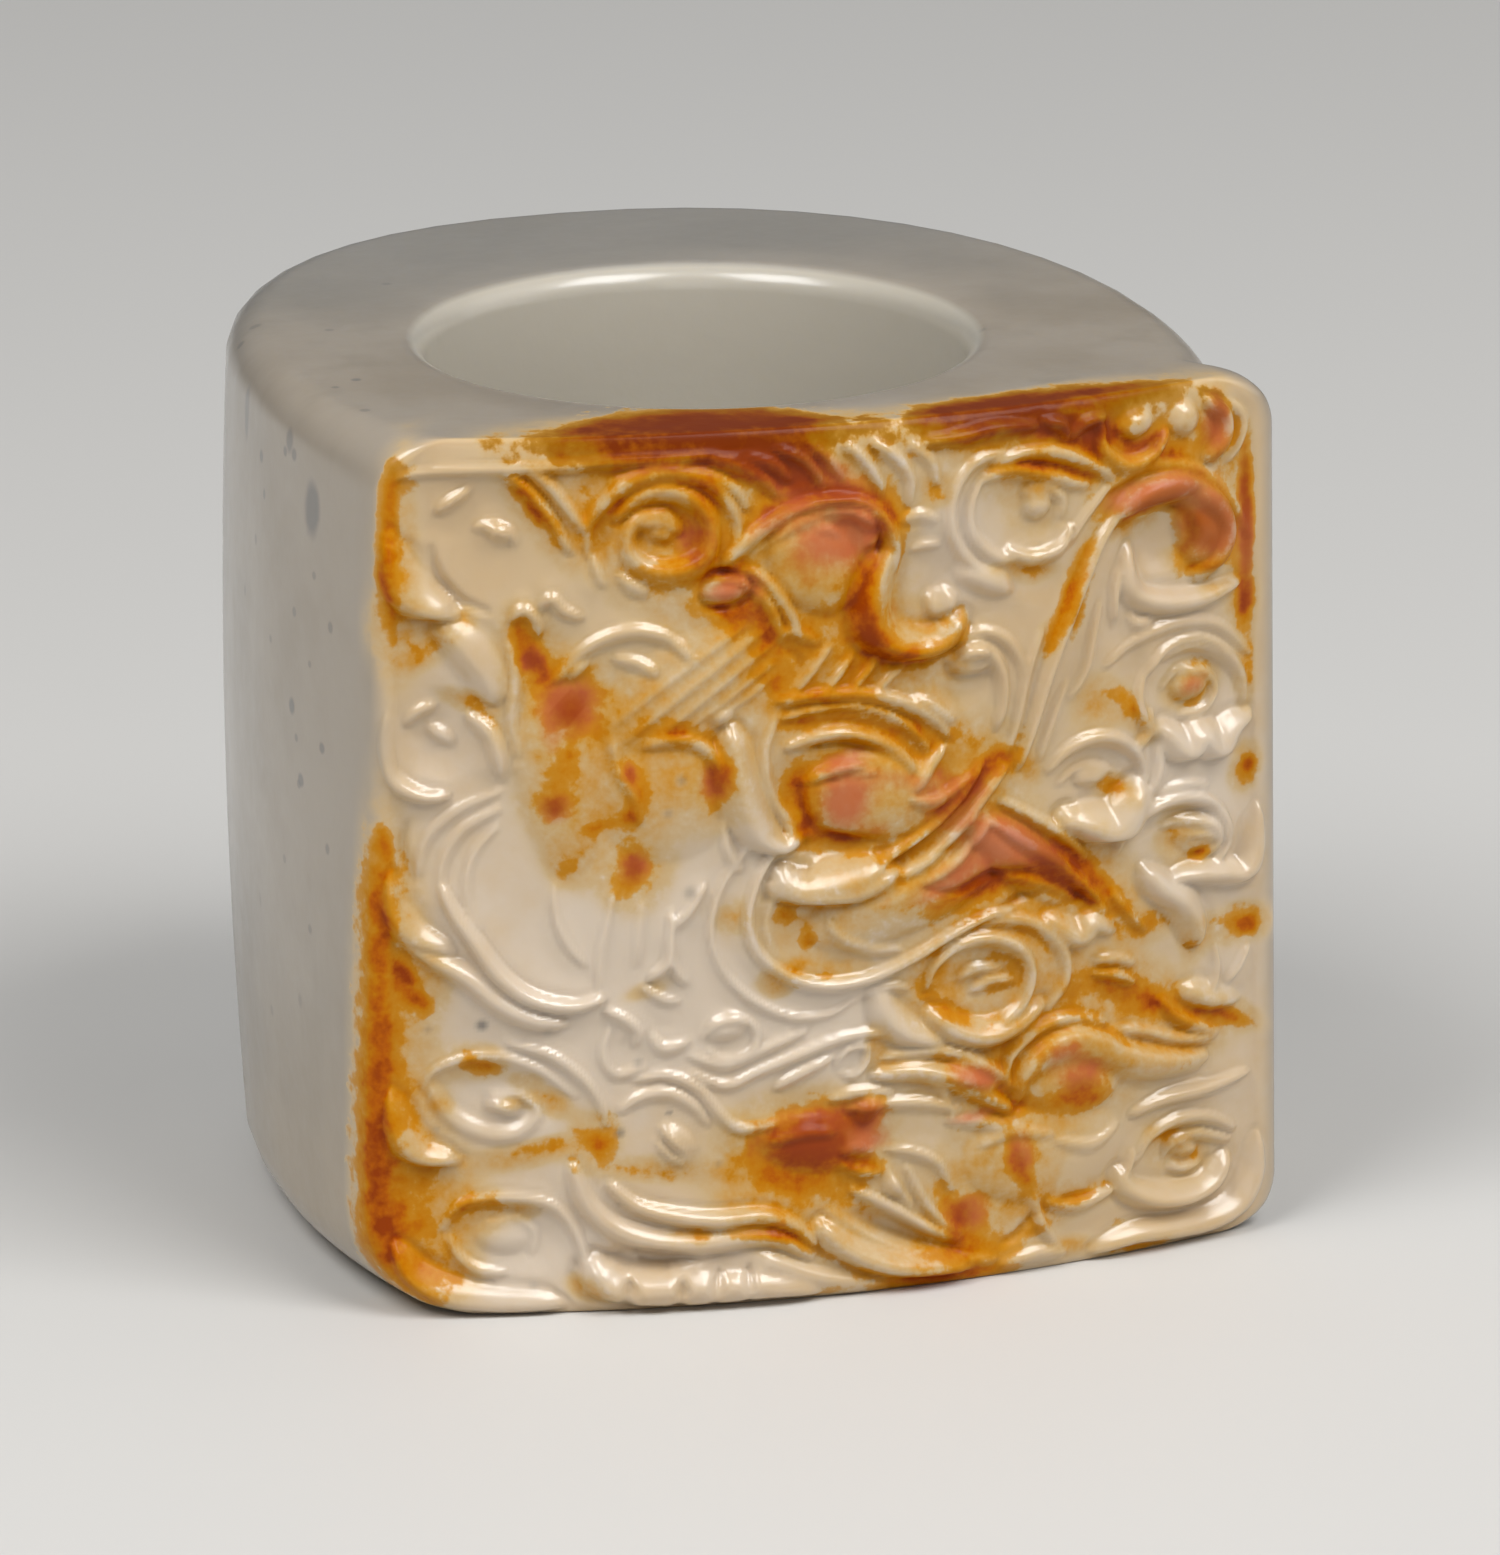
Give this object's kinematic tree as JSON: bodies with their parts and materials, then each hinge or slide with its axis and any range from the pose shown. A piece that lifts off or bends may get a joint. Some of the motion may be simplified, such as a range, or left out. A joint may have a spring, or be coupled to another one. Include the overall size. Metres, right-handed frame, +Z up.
{
  "type": "archers thumb ring",
  "caption": "Chunky one-piece stone thumb ring with a bowed square front panel carved in raised cloud and beast relief, and a round through bore.",
  "frame": {"origin": "middle of the thumb bore, on its axis and half way up", "axes": "+Z up the bore axis towards the upper rim, -Y out of the carved panel, +X to the right of someone facing the panel"},
  "size_m": [0.0363, 0.0355, 0.033],
  "materials": {
    "jade": "polished"
  },
  "bodies": {
    "root": {"thumb_ring": "jade"}
  },
  "joints": []
}
